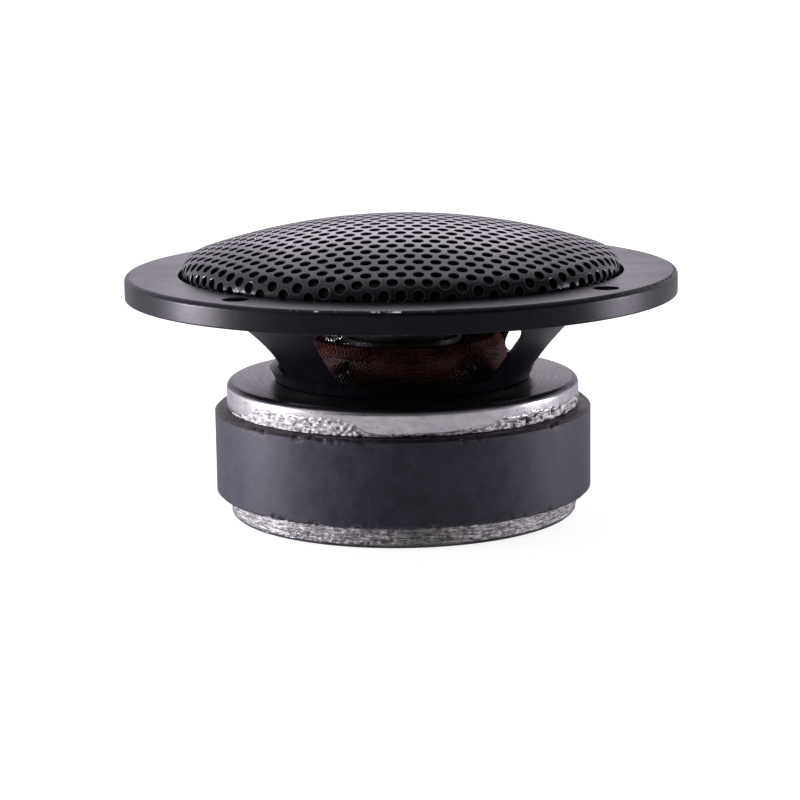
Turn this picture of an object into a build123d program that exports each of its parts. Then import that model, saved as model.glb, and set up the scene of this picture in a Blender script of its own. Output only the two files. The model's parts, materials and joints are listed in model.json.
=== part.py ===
from build123d import *
from math import atan2, cos, degrees, radians, sin, sqrt
import os

os.makedirs("parts", exist_ok=True)

# ---------------------------------------------------------------------------
# Driving dimensions, in millimetres. +Z is the way the driver radiates and
# the origin is the centre of the back plate's rear face. An azimuth is
# counted from -Y, the front, towards +X.
# ---------------------------------------------------------------------------

# Motor: a steel back plate, a ferrite ring and a steel top plate, stacked.
back_plate_radius = 32.5
back_plate_thickness = 4.1
magnet_radius = 35.05
magnet_bore_radius = 16.0
magnet_height = 15.9
magnet_chamfer = 0.5
top_plate_radius = 32.8
top_plate_thickness = 4.9
top_plate_bore_radius = 10.9
punch_rollover = 1.35
glue_thickness = 0.15
glue_inner_radius = 17.0
glue_outer_radius = 32.2
pole_radius = 9.4
spigot_radius = 5.5
spigot_clearance = 0.03
spigot_recess = 0.3
pole_chamfer = 0.4

# Basket: one steel pressing with a foot, a conical wall with four windows, a
# recess for the surround and the grille, a flange and a turned-down skirt.
sheet = 1.2
flange_radius = 51.0
flange_top_z = 45.3
skirt_height = 4.2
shoulder_radius = 0.9
recess_radius = 41.0
ledge_z = 42.2
foot_radius = 23.6
foot_inner_radius = 13.5
base_ring_height = 2.0
base_ring_radius = 24.53
cone_wall_slope = 0.81
press_fillet = 0.5
leg_width = 23.0
leg_flare = 4.8
front_leg_azimuth = 47.6
rear_leg_azimuth = 136.5
window_height = 10.8
window_corner = 4.2
front_window_corner = 1.8
screw_circle_radius = 45.5
screw_hole_radius = 2.35
screw_azimuths = (45, 135, 225, 315)

# Rivets that hold the basket's foot on the top plate.
rivet_circle_radius = 16.3
rivet_radius = 1.5
rivet_head_radius = 2.4
rivet_head_height = 0.9
rivet_depth = 3.0

# Grille: a shallow dome with a rounded bend and a rim that sits in the recess.
grille_radius = 40.4
grille_height = 9.7
grille_sphere_radius = 120.0
grille_bend_radius = 3.7
grille_sheet = 0.8
scrim_gap = 0.05
scrim_thickness = 0.25

# Surround and the gasket that clamps it.
surround_thickness = 0.4
surround_outer_radius = 40.5
surround_roll_circle = 33.1
surround_roll_radius = 2.7
surround_lip_radius = 29.2
gasket_inner_radius = 36.4
gasket_outer_radius = 40.7
gasket_thickness = 1.2

# Cone, dust cap, voice coil and spider: the parts that move or flex.
paper = 0.5
cone_neck_radius = 10.25
cone_neck_z = 33.6
cone_rim_radius = 30.5
cone_flare_radius = 28.8
cone_belly = (19.5, 38.4)
dust_cap_radius = 12.3
dust_cap_edge_z = 35.45
dust_cap_rise = 3.6
dust_cap_thickness = 0.4
former_inner_radius = 9.75
former_outer_radius = 9.95
former_low_z = 19.2
former_high_z = 34.6
neck_ring_radius = 11.1
neck_ring_height = 0.9
glue_clearance = 0.05
coil_outer_radius = 10.45
coil_height = 6.5
cloth = 0.5
spider_landing_radius = 22.3
spider_neck_z = 30.4
spider_fold_radius = 0.8

# Terminals on a lug of the basket's rear window, and the leads to the cone.
lug_width = 5.0
lug_inner_y = 24.2
lug_top_z = 35.4
board_width = 15.0
board_low_z = 29.0
board_high_z = 36.2
board_thickness = 1.5
board_rivet_z = 32.6
board_rivet_radius = 1.1
board_rivet_head_radius = 1.9
board_rivet_head_height = 0.6
terminal_x = 5.2
terminal_width = 3.4
terminal_thickness = 0.5
terminal_low_z = 29.8
terminal_high_z = 38.5
terminal_blade_length = 5.6
terminal_hole_radius = 0.8
lead_diameter = 0.8
lead_start_z = 37.4
eyelet_place = (4.4, 13.3)
eyelet_radius = 0.9
eyelet_hole_radius = 0.95
eyelet_head_radius = 1.4
eyelet_head_height = 0.4
eyelet_top_z = 37.1
solder_cup_radius = 1.3
solder_cup_low_z = 33.3
solder_cup_high_z = 34.3

# ---------------------------------------------------------------------------
# Heights and curves worked out from the driving dimensions.
# ---------------------------------------------------------------------------
magnet_low_z = back_plate_thickness + glue_thickness
magnet_high_z = magnet_low_z + magnet_height
top_plate_low_z = magnet_high_z + glue_thickness
top_plate_high_z = top_plate_low_z + top_plate_thickness
foot_top_z = top_plate_high_z + sheet
window_low_z = top_plate_high_z + base_ring_height + 0.2
skirt_low_z = flange_top_z - skirt_height
gasket_low_z = ledge_z + surround_thickness
gasket_high_z = gasket_low_z + gasket_thickness
wall_reach = sheet * sqrt(1 + cone_wall_slope**2)
coil_middle_z = (top_plate_low_z + top_plate_high_z) / 2
cone_rim_z = ledge_z - paper / 2
board_inner_y = lug_inner_y + sheet
terminal_inner_y = board_inner_y + board_thickness


def wall_radius(z):
    """Radius of the basket's conical wall, outside, at height z."""
    return base_ring_radius + cone_wall_slope * (z - top_plate_high_z - base_ring_height)


def facing(azimuth):
    """Plane through the axis whose normal points out along an azimuth and whose y is up."""
    a = radians(azimuth)
    return Plane(origin=(0, 0, 0), x_dir=(cos(a), sin(a), 0), z_dir=(sin(a), -cos(a), 0))


def dome_outline(inset, foot_z):
    """Half outline of the grille's dome, moved inwards by inset and ending at foot_z."""
    sphere_z = flange_top_z + grille_height - grille_sphere_radius
    bend_r = grille_radius - grille_bend_radius
    reach = grille_sphere_radius - grille_bend_radius
    bend_z = sphere_z + sqrt(reach**2 - bend_r**2)
    tilt = degrees(atan2(bend_r, bend_z - sphere_z))
    crown = CenterArc((0, sphere_z), grille_sphere_radius - inset, 90, -tilt)
    bend = CenterArc((bend_r, bend_z), grille_bend_radius - inset, 90 - tilt, tilt - 90)
    rim = Line(bend @ 1, (grille_radius - inset, foot_z))
    return crown, bend, rim


def dome_shell(outer_inset, inner_inset, foot_z):
    """Section of a thin shell between two insets of the grille's dome, for revolving."""
    with BuildSketch(Plane.XZ) as section:
        with BuildLine():
            outer_crown, _, outer_rim = dome_outline(outer_inset, foot_z)
            inner_crown, _, inner_rim = dome_outline(inner_inset, foot_z)
            Line(outer_crown @ 0, inner_crown @ 0)
            Line(outer_rim @ 1, inner_rim @ 1)
        make_face()
    return section.sketch


def ring_section(inner, outer, low_z, high_z):
    """Rectangular section of a plain ring, for revolving."""
    with BuildSketch(Plane.XZ) as section:
        with BuildLine():
            Polyline((inner, low_z), (outer, low_z), (outer, high_z), (inner, high_z), close=True)
        make_face()
    return section.sketch


# ---------------------------------------------------------------------------
# Motor
# ---------------------------------------------------------------------------
with BuildPart() as back_plate:
    with BuildSketch():
        Circle(back_plate_radius)
        Circle(spigot_radius + spigot_clearance, mode=Mode.SUBTRACT)
    extrude(amount=back_plate_thickness)
    fillet(back_plate.edges().group_by(Axis.Z)[0].sort_by(SortBy.RADIUS)[-1], punch_rollover)
back_plate.part.label = "back_plate"
export_step(back_plate.part, "parts/back_plate.step")

with BuildPart() as pole_piece:
    with BuildSketch(Plane.XY.offset(spigot_recess)):
        Circle(spigot_radius)
    extrude(amount=back_plate_thickness - spigot_recess)
    with BuildSketch(Plane.XY.offset(back_plate_thickness)):
        Circle(pole_radius)
    extrude(amount=top_plate_high_z - back_plate_thickness)
    chamfer(pole_piece.edges().group_by(Axis.Z)[-1], pole_chamfer)
pole_piece.part.label = "pole_piece"
export_step(pole_piece.part, "parts/pole_piece.step")

with BuildPart() as rear_glue:
    revolve(ring_section(glue_inner_radius, glue_outer_radius, back_plate_thickness, magnet_low_z), Axis.Z)
rear_glue.part.label = "rear_glue"
export_step(rear_glue.part, "parts/rear_glue.step")

with BuildPart() as magnet:
    revolve(ring_section(magnet_bore_radius, magnet_radius, magnet_low_z, magnet_high_z), Axis.Z)
    chamfer(magnet.edges().filter_by(GeomType.CIRCLE), magnet_chamfer)
magnet.part.label = "magnet"
export_step(magnet.part, "parts/magnet.step")

with BuildPart() as front_glue:
    revolve(ring_section(glue_inner_radius, glue_outer_radius, magnet_high_z, top_plate_low_z), Axis.Z)
front_glue.part.label = "front_glue"
export_step(front_glue.part, "parts/front_glue.step")

with BuildPart() as top_plate:
    revolve(ring_section(top_plate_bore_radius, top_plate_radius, top_plate_low_z, top_plate_high_z), Axis.Z)
    fillet(top_plate.edges().group_by(Axis.Z)[-1].sort_by(SortBy.RADIUS)[-1], punch_rollover)
    with BuildSketch(Plane.XY.offset(top_plate_high_z - rivet_depth)):
        with PolarLocations(rivet_circle_radius, 4):
            Circle(rivet_radius)
    extrude(amount=rivet_depth, mode=Mode.SUBTRACT)
top_plate.part.label = "top_plate"
export_step(top_plate.part, "parts/top_plate.step")

# ---------------------------------------------------------------------------
# Basket: the pressing's section is revolved, then windows and holes are cut.
# ---------------------------------------------------------------------------
# (radius, height, fillet) round the section, from the skirt's outer foot.
basket_section = (
    (flange_radius, skirt_low_z, 0.3),
    (flange_radius - sheet, skirt_low_z, 0.3),
    (flange_radius - sheet, flange_top_z - sheet, press_fillet),
    (recess_radius + sheet, flange_top_z - sheet, press_fillet),
    (recess_radius + sheet, ledge_z - sheet, press_fillet),
    (wall_radius(ledge_z - sheet), ledge_z - sheet, press_fillet),
    (base_ring_radius, top_plate_high_z + base_ring_height, press_fillet),
    (foot_radius, top_plate_high_z, press_fillet),
    (foot_inner_radius, top_plate_high_z, 0.1),
    (foot_inner_radius, foot_top_z, 0.3),
    (foot_radius - wall_reach / 2, foot_top_z, press_fillet),
    (base_ring_radius - wall_reach, top_plate_high_z + base_ring_height, press_fillet),
    (wall_radius(ledge_z) - wall_reach, ledge_z, press_fillet),
    (recess_radius, ledge_z, 0.3),
    (recess_radius, flange_top_z, press_fillet),
    (flange_radius, flange_top_z, shoulder_radius),
)
# (azimuth, half angle, corner radius) of each window between two legs.
side_window = (front_leg_azimuth + rear_leg_azimuth) / 2
side_half_angle = (rear_leg_azimuth - front_leg_azimuth - leg_width) / 2
windows = (
    (0, front_leg_azimuth - leg_width / 2, front_window_corner),
    (side_window, side_half_angle, window_corner),
    (180, 180 - rear_leg_azimuth - leg_width / 2, window_corner),
    (-side_window, side_half_angle, window_corner),
)

with BuildPart() as basket:
    with BuildSketch(Plane.XZ):
        with BuildLine():
            FilletPolyline(
                *[(r, z) for r, z, _ in basket_section],
                radius=[f for _, _, f in basket_section],
                close=True,
            )
        make_face()
    revolve(axis=Axis.Z)
    for azimuth, half_angle, corner in windows:
        high_z = window_low_z + window_height
        low_half = wall_radius(window_low_z) * sin(radians(half_angle - leg_flare / 2))
        high_half = wall_radius(high_z) * sin(radians(half_angle))
        with BuildSketch(facing(azimuth).offset(foot_inner_radius)) as window:
            with BuildLine():
                Polyline(
                    (-low_half, window_low_z),
                    (low_half, window_low_z),
                    (high_half, high_z),
                    (-high_half, high_z),
                    close=True,
                )
            make_face()
            fillet(window.vertices(), corner)
        extrude(amount=flange_radius - foot_inner_radius, mode=Mode.SUBTRACT)
    # Lug for the terminal board, standing up from the base ring in the rear window.
    with BuildSketch(Plane.XZ.offset(-lug_inner_y)):
        with Locations((0, (foot_top_z + lug_top_z) / 2)):
            RectangleRounded(lug_width, lug_top_z - foot_top_z, 0.8)
    extrude(amount=-sheet)
    with BuildSketch(Plane.XZ.offset(-lug_inner_y)):
        with Locations((0, board_rivet_z)):
            Circle(board_rivet_radius)
    extrude(amount=-sheet, mode=Mode.SUBTRACT)
    # Fixing holes in the flange and rivet holes in the foot.
    with BuildSketch(Plane.XY.offset(flange_top_z)):
        for azimuth in screw_azimuths:
            a = radians(azimuth)
            with Locations((screw_circle_radius * sin(a), -screw_circle_radius * cos(a))):
                Circle(screw_hole_radius)
    extrude(amount=-2 * sheet, mode=Mode.SUBTRACT)
    with BuildSketch(Plane.XY.offset(top_plate_high_z)):
        with PolarLocations(rivet_circle_radius, 4):
            Circle(rivet_radius)
    extrude(amount=sheet, mode=Mode.SUBTRACT)
basket.part.label = "basket"
export_step(basket.part, "parts/basket.step")

with BuildPart() as basket_rivets:
    with BuildSketch(Plane.XY.offset(top_plate_high_z - rivet_depth)):
        with PolarLocations(rivet_circle_radius, 4):
            Circle(rivet_radius)
    extrude(amount=rivet_depth + sheet)
    with BuildSketch(Plane.XY.offset(foot_top_z)):
        with PolarLocations(rivet_circle_radius, 4):
            Circle(rivet_head_radius)
    extrude(amount=rivet_head_height)
    fillet(basket_rivets.edges().group_by(Axis.Z)[-1], rivet_head_height / 2)
basket_rivets.part.label = "basket_rivets"
export_step(basket_rivets.part, "parts/basket_rivets.step")

# ---------------------------------------------------------------------------
# Grille and its cloth liner: the perforated sheet's true outer and inner form.
# ---------------------------------------------------------------------------
with BuildPart() as grille:
    revolve(dome_shell(0, grille_sheet, gasket_high_z), Axis.Z)
grille.part.label = "grille"
export_step(grille.part, "parts/grille.step")

scrim_inset = grille_sheet + scrim_gap
with BuildPart() as grille_scrim:
    revolve(dome_shell(scrim_inset, scrim_inset + scrim_thickness, gasket_high_z), Axis.Z)
grille_scrim.part.label = "grille_scrim"
export_step(grille_scrim.part, "parts/grille_scrim.step")

with BuildPart() as gasket_ring:
    revolve(ring_section(gasket_inner_radius, gasket_outer_radius, gasket_low_z, gasket_high_z), Axis.Z)
gasket_ring.part.label = "gasket_ring"
export_step(gasket_ring.part, "parts/gasket_ring.step")

# ---------------------------------------------------------------------------
# Moving system
# ---------------------------------------------------------------------------
with BuildPart() as surround:
    roll_inner = surround_roll_radius - surround_thickness
    with BuildSketch(Plane.XZ):
        with Locations((surround_roll_circle, ledge_z)):
            Circle(surround_roll_radius)
            Circle(roll_inner, mode=Mode.SUBTRACT)
            Rectangle(
                3 * surround_roll_radius,
                2 * surround_roll_radius,
                align=(Align.CENTER, Align.MAX),
                mode=Mode.SUBTRACT,
            )
        add(ring_section(surround_lip_radius, surround_roll_circle - roll_inner, ledge_z, gasket_low_z))
        add(ring_section(surround_roll_circle + roll_inner, surround_outer_radius, ledge_z, gasket_low_z))
        with Locations((surround_roll_circle, ledge_z)):
            Circle(roll_inner, mode=Mode.SUBTRACT)
    revolve(axis=Axis.Z)
surround.part.label = "surround"
export_step(surround.part, "parts/surround.step")

with BuildPart() as cone:
    with BuildSketch(Plane.XZ):
        with BuildLine():
            ThreePointArc((cone_neck_radius, cone_neck_z), cone_belly, (cone_flare_radius, cone_rim_z))
            Line((cone_flare_radius, cone_rim_z), (cone_rim_radius, cone_rim_z))
        trace(line_width=paper)
    revolve(axis=Axis.Z)
    with BuildSketch(Plane.XY.offset(cone_neck_z)):
        with Locations(eyelet_place, (-eyelet_place[0], eyelet_place[1])):
            Circle(eyelet_hole_radius)
    extrude(amount=ledge_z - cone_neck_z, mode=Mode.SUBTRACT)
cone.part.label = "cone"
export_step(cone.part, "parts/cone.step")

with BuildPart() as dust_cap:
    cap_sphere = (dust_cap_radius**2 + dust_cap_rise**2) / (2 * dust_cap_rise)
    cap_tilt = degrees(atan2(dust_cap_radius, cap_sphere - dust_cap_rise))
    cap_centre_z = dust_cap_edge_z + dust_cap_rise - cap_sphere
    with BuildSketch(Plane.XZ):
        with BuildLine():
            outside = CenterArc((0, cap_centre_z), cap_sphere, 90, -cap_tilt)
            inside = CenterArc((0, cap_centre_z), cap_sphere - dust_cap_thickness, 90, -cap_tilt)
            Line(outside @ 0, inside @ 0)
            Line(outside @ 1, inside @ 1)
        make_face()
    revolve(axis=Axis.Z)
dust_cap.part.label = "dust_cap"
export_step(dust_cap.part, "parts/dust_cap.step")

with BuildPart() as voice_coil_former:
    revolve(ring_section(former_inner_radius, former_outer_radius, former_low_z, former_high_z), Axis.Z)
voice_coil_former.part.label = "voice_coil_former"
export_step(voice_coil_former.part, "parts/voice_coil_former.step")

with BuildPart() as voice_coil:
    revolve(
        ring_section(
            former_outer_radius + glue_clearance,
            coil_outer_radius,
            coil_middle_z - coil_height / 2,
            coil_middle_z + coil_height / 2,
        ),
        Axis.Z,
    )
voice_coil.part.label = "voice_coil"
export_step(voice_coil.part, "parts/voice_coil.step")

with BuildPart() as neck_ring:
    neck_ring_high_z = cone_neck_z - paper
    revolve(
        ring_section(
            former_outer_radius + glue_clearance,
            neck_ring_radius,
            neck_ring_high_z - neck_ring_height,
            neck_ring_high_z,
        ),
        Axis.Z,
    )
neck_ring.part.label = "neck_ring"
export_step(neck_ring.part, "parts/neck_ring.step")

# Middle line of the cloth, from its landing on the foot, up the bulging outer
# roll, over the crest and down to the neck that is glued to the former.
landing_z = foot_top_z + cloth / 2
spider_line = (
    (spider_landing_radius, landing_z),
    (19.1, landing_z),
    (19.4, 29.6),
    (18.8, 32.0),
    (17.5, 33.4),
    (16.0, 33.0),
    (14.4, 29.4),
    (12.8, 31.6),
    (11.4, spider_neck_z),
    (former_outer_radius + glue_clearance, spider_neck_z),
)
with BuildPart() as spider:
    with BuildSketch(Plane.XZ):
        with BuildLine():
            FilletPolyline(*spider_line, radius=spider_fold_radius)
        trace(line_width=cloth)
    revolve(axis=Axis.Z)
spider.part.label = "spider"
export_step(spider.part, "parts/spider.step")

# ---------------------------------------------------------------------------
# Terminals and leads
# ---------------------------------------------------------------------------
board_middle_z = (board_low_z + board_high_z) / 2
with BuildPart() as terminal_board:
    with BuildSketch(Plane.XZ.offset(-board_inner_y)):
        with Locations((0, board_middle_z)):
            RectangleRounded(board_width, board_high_z - board_low_z, 0.8)
        with Locations((0, board_rivet_z)):
            Circle(board_rivet_radius, mode=Mode.SUBTRACT)
    extrude(amount=-board_thickness)
terminal_board.part.label = "terminal_board"
export_step(terminal_board.part, "parts/terminal_board.step")

with BuildPart() as terminal_rivet:
    stack = sheet + board_thickness
    with BuildSketch(Plane.XZ.offset(-lug_inner_y)):
        with Locations((0, board_rivet_z)):
            Circle(board_rivet_radius)
    extrude(amount=-stack)
    for face_y, outward in ((lug_inner_y, 1), (lug_inner_y + stack, -1)):
        with BuildSketch(Plane.XZ.offset(-face_y)):
            with Locations((0, board_rivet_z)):
                Circle(board_rivet_head_radius)
        extrude(amount=outward * board_rivet_head_height)
terminal_rivet.part.label = "terminal_rivet"
export_step(terminal_rivet.part, "parts/terminal_rivet.step")

for name, side in (("positive", 1), ("negative", -1)):
    # Bent solder lug: an upright strip on the board and a blade turned outwards.
    with BuildPart() as terminal:
        blade_y = terminal_inner_y + terminal_blade_length
        with BuildSketch(Plane.YZ.offset(side * terminal_x - terminal_width / 2)):
            with BuildLine():
                Polyline(
                    (terminal_inner_y, terminal_high_z),
                    (terminal_inner_y, terminal_low_z),
                    (blade_y, terminal_low_z),
                    (blade_y, terminal_low_z + terminal_thickness),
                    (terminal_inner_y + terminal_thickness, terminal_low_z + terminal_thickness),
                    (terminal_inner_y + terminal_thickness, terminal_high_z),
                    close=True,
                )
            make_face()
        extrude(amount=terminal_width)
        with BuildSketch(Plane.XY.offset(terminal_low_z)):
            with Locations((side * terminal_x, blade_y - terminal_width / 2)):
                Circle(terminal_hole_radius)
        extrude(amount=terminal_thickness, mode=Mode.SUBTRACT)
    terminal.part.label = f"terminal_{name}"
    export_step(terminal.part, f"parts/terminal_{name}.step")

    # Braided lead from the terminal's inner face to the solder cup under the cone.
    eyelet_x, eyelet_y = eyelet_place
    route = [
        (side * terminal_x, terminal_inner_y, lead_start_z),
        (side * 5.2, 24.2, 37.2),
        (side * 5.1, 21.2, 35.5),
        (side * 4.8, 17.9, 34.3),
        (side * eyelet_x, eyelet_y + solder_cup_radius, (solder_cup_low_z + solder_cup_high_z) / 2),
    ]
    runs = [(Vector(*b) - Vector(*a)) for a, b in zip(route, route[1:])]
    bends = [
        0.45 * min(a.length, b.length) / sin(radians(a.get_angle(b) / 2)) * cos(radians(a.get_angle(b) / 2))
        for a, b in zip(runs, runs[1:])
    ]
    print(name, "lead bends", [round(bend, 1) for bend in bends])
    with BuildPart() as lead:
        with BuildLine() as lead_path:
            FilletPolyline(*route, radius=bends)
        with BuildSketch(Plane(origin=route[0], z_dir=runs[0])):
            Circle(lead_diameter / 2)
        sweep(path=lead_path.wires()[0])
    print(name, "lead", round(lead_path.wires()[0].length, 2), "mm long,", round(lead.part.volume, 3), "mm3")
    lead.part.label = f"lead_{name}"
    export_step(lead.part, f"parts/lead_{name}.step")

with BuildPart() as lead_eyelets:
    eyelet_places = (eyelet_place, (-eyelet_place[0], eyelet_place[1]))
    for low_z, high_z, radius in (
        (solder_cup_low_z, solder_cup_high_z, solder_cup_radius),
        (solder_cup_high_z, eyelet_top_z - eyelet_head_height, eyelet_radius),
        (eyelet_top_z - eyelet_head_height, eyelet_top_z, eyelet_head_radius),
    ):
        with BuildSketch(Plane.XY.offset(low_z)):
            with Locations(*eyelet_places):
                Circle(radius)
        extrude(amount=high_z - low_z)
lead_eyelets.part.label = "lead_eyelets"
export_step(lead_eyelets.part, "parts/lead_eyelets.step")
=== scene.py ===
"""Looks for a small round car speaker driver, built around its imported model.

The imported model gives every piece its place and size. Each class below builds or
dresses one sub-assembly, each finish is a frozen dataclass that makes one material,
and main() puts them together in a plain studio.
"""

from __future__ import annotations

import json
import logging
import math
import random
from collections.abc import Callable, Iterable, Sequence
from dataclasses import dataclass
from enum import Enum

import bmesh
import bpy
import numpy as np
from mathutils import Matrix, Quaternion, Vector, noise

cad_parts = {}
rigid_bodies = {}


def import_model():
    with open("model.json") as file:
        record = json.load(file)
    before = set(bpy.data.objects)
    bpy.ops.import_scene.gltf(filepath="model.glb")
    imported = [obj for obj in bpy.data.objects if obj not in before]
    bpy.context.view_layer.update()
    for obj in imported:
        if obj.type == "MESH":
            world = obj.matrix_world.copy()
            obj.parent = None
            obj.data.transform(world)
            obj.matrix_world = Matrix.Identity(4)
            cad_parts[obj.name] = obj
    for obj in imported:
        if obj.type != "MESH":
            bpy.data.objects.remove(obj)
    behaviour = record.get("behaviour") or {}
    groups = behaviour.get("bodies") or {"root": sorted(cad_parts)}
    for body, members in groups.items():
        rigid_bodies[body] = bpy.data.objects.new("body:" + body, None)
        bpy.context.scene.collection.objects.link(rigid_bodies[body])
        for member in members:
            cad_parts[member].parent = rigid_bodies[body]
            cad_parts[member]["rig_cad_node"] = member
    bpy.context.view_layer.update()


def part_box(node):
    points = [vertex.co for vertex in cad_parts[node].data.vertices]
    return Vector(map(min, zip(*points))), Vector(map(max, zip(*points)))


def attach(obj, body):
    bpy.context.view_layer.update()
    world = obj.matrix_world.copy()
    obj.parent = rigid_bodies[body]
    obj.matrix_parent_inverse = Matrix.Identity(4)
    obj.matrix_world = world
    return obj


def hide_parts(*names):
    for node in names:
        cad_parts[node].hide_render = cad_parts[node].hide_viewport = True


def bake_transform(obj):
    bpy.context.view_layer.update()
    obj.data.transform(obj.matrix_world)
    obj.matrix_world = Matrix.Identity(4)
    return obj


log = logging.getLogger("driver")

MM = 0.001
TURN = 2 * math.pi
Colour = tuple[float, float, float]
Outline = list[tuple[float, float]]
Socket = bpy.types.NodeSocket


class Body(Enum):
    """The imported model's rigid bodies."""

    FRAME = "frame"
    CONE = "cone_assembly"


class Slot(Enum):
    """The record's material slot names; no piece in this script takes its finish from them."""

    GRILLE = "black_grille"
    SCRIM = "scrim_cloth"
    SURROUND = "surround_cloth"
    SPIDER = "spider_cloth"
    PLATE = "zinc_plate"
    FERRITE = "ferrite"
    WIRE = "enamelled_wire"
    BRAID = "braid"


# ---------------------------------------------------------------------------
# Shader graph helper
# ---------------------------------------------------------------------------


class Graph:
    """One material's nodes, with short methods for the few kinds of node it needs."""

    def __init__(self, name: str) -> None:
        """Makes the material and its main shader.

        Args:
            name: The material's name.
        """
        self.material = bpy.data.materials.new(name)
        self.material.use_nodes = True
        self.tree = self.material.node_tree
        self.tree.nodes.clear()
        self.shader = self.tree.nodes.new("ShaderNodeBsdfPrincipled")
        output = self.tree.nodes.new("ShaderNodeOutputMaterial")
        self.tree.links.new(self.shader.outputs["BSDF"], output.inputs["Surface"])
        self._place = self.tree.nodes.new("ShaderNodeTexCoord").outputs["Object"]

    def feed(self, target: Socket, value: Socket | float | Sequence[float]) -> None:
        """Links a socket to an input, or sets the input's own value.

        Args:
            target: The input to fill.
            value: A socket to link, or a plain value.
        """
        if isinstance(value, bpy.types.NodeSocket):
            self.tree.links.new(value, target)
        else:
            target.default_value = value

    def math(self, operation: str, *values: Socket | float) -> Socket:
        """Adds one math node.

        Args:
            operation: The node's operation, such as MULTIPLY.
            values: Its operands, sockets or numbers.

        Returns:
            The result's socket.
        """
        node = self.tree.nodes.new("ShaderNodeMath")
        node.operation = operation
        for target, value in zip(node.inputs, values):
            self.feed(target, value)
        return node.outputs[0]

    def step(self, value: Socket, low: float, high: float, top: float = 1.0) -> Socket:
        """Rises smoothly from 0 to top as value goes from low to high, or falls if low is above high.

        Args:
            value: The socket to read.
            low: Where the result is 0.
            high: Where the result is top.
            top: The highest result.

        Returns:
            The result's socket.
        """
        node = self.tree.nodes.new("ShaderNodeMapRange")
        node.interpolation_type = "SMOOTHSTEP"
        self.feed(node.inputs["Value"], value)
        flip = low > high
        node.inputs["From Min"].default_value = min(low, high)
        node.inputs["From Max"].default_value = max(low, high)
        node.inputs["To Min"].default_value = top if flip else 0.0
        node.inputs["To Max"].default_value = 0.0 if flip else top
        return node.outputs["Result"]

    def place(self) -> tuple[Socket, Socket, Socket]:
        """Gives the surface point's x, y and z sockets, in millimetres."""
        scale = self.tree.nodes.new("ShaderNodeVectorMath")
        scale.operation = "SCALE"
        self.feed(scale.inputs[0], self._place)
        scale.inputs["Scale"].default_value = 1 / MM
        split = self.tree.nodes.new("ShaderNodeSeparateXYZ")
        self.feed(split.inputs[0], scale.outputs[0])
        return split.outputs[0], split.outputs[1], split.outputs[2]

    def vector(self, x: Socket | float, y: Socket | float, z: Socket | float) -> Socket:
        """Joins three numbers to a vector socket."""
        node = self.tree.nodes.new("ShaderNodeCombineXYZ")
        for target, value in zip(node.inputs, (x, y, z)):
            self.feed(target, value)
        return node.outputs[0]

    def radius(self) -> Socket:
        """Distance from the driver's axis, in millimetres."""
        x, y, _ = self.place()
        return self.math("SQRT", self.math("ADD", self.math("MULTIPLY", x, x), self.math("MULTIPLY", y, y)))

    def around(self, turn: float, radial: float, axial: float) -> Socket:
        """Coordinates for patterns that run round the axis with no seam.

        Args:
            turn: How finely the pattern changes round the axis.
            radial: How finely it changes outwards, per millimetre.
            axial: How finely it changes upwards, per millimetre.

        Returns:
            The coordinates' socket.
        """
        x, y, z = self.place()
        r = self.radius()
        across = self.math("ADD", self.math("MULTIPLY", r, radial), self.math("MULTIPLY", z, axial))
        return self.vector(
            self.math("MULTIPLY", self.math("DIVIDE", x, r), turn),
            self.math("MULTIPLY", self.math("DIVIDE", y, r), turn),
            across,
        )

    def in_mm(self) -> Socket:
        """The surface point as a vector in millimetres."""
        return self.vector(*self.place())

    def cloud(self, where: Socket, scale: float, detail: float = 3.0, rough: float = 0.55) -> Socket:
        """Adds a noise texture.

        Args:
            where: The coordinates.
            scale: How many blotches per unit.
            detail: How many finer layers it has.
            rough: How strong the finer layers are.

        Returns:
            The noise from 0 to 1.
        """
        node = self.tree.nodes.new("ShaderNodeTexNoise")
        self.feed(node.inputs["Vector"], where)
        node.inputs["Scale"].default_value = scale
        node.inputs["Detail"].default_value = detail
        node.inputs["Roughness"].default_value = rough
        return node.outputs["Fac"]

    def cells(self, where: Socket, scale: float) -> Socket:
        """Adds a cell texture and gives the distance to the nearest cell's middle."""
        node = self.tree.nodes.new("ShaderNodeTexVoronoi")
        self.feed(node.inputs["Vector"], where)
        node.inputs["Scale"].default_value = scale
        return node.outputs["Distance"]

    def painted(self, attribute: str) -> Socket:
        """Reads a number stored on the mesh's points."""
        node = self.tree.nodes.new("ShaderNodeAttribute")
        node.attribute_name = attribute
        return node.outputs["Fac"]

    def blend(self, share: Socket, low: Socket | Colour, high: Socket | Colour) -> Socket:
        """Mixes two colours.

        Args:
            share: How much of the second colour shows.
            low: The colour at 0.
            high: The colour at 1.

        Returns:
            The mixed colour's socket.
        """
        node = self.tree.nodes.new("ShaderNodeMix")
        node.data_type = "RGBA"
        self.feed(node.inputs[0], share)
        for target, value in ((node.inputs[6], low), (node.inputs[7], high)):
            self.feed(target, value if isinstance(value, bpy.types.NodeSocket) else (*value, 1.0))
        return node.outputs[2]

    def bump(self, height: Socket, depth: float, over: Socket | None = None) -> Socket:
        """Adds a bump.

        Args:
            height: The height from 0 to 1.
            depth: How deep a height of 1 is, in millimetres.
            over: A bump that lies under this one.

        Returns:
            The normal's socket.
        """
        node = self.tree.nodes.new("ShaderNodeBump")
        node.inputs["Strength"].default_value = 1.0
        node.inputs["Distance"].default_value = depth * MM
        self.feed(node.inputs["Height"], height)
        if over is not None:
            self.feed(node.inputs["Normal"], over)
        return node.outputs["Normal"]

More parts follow.
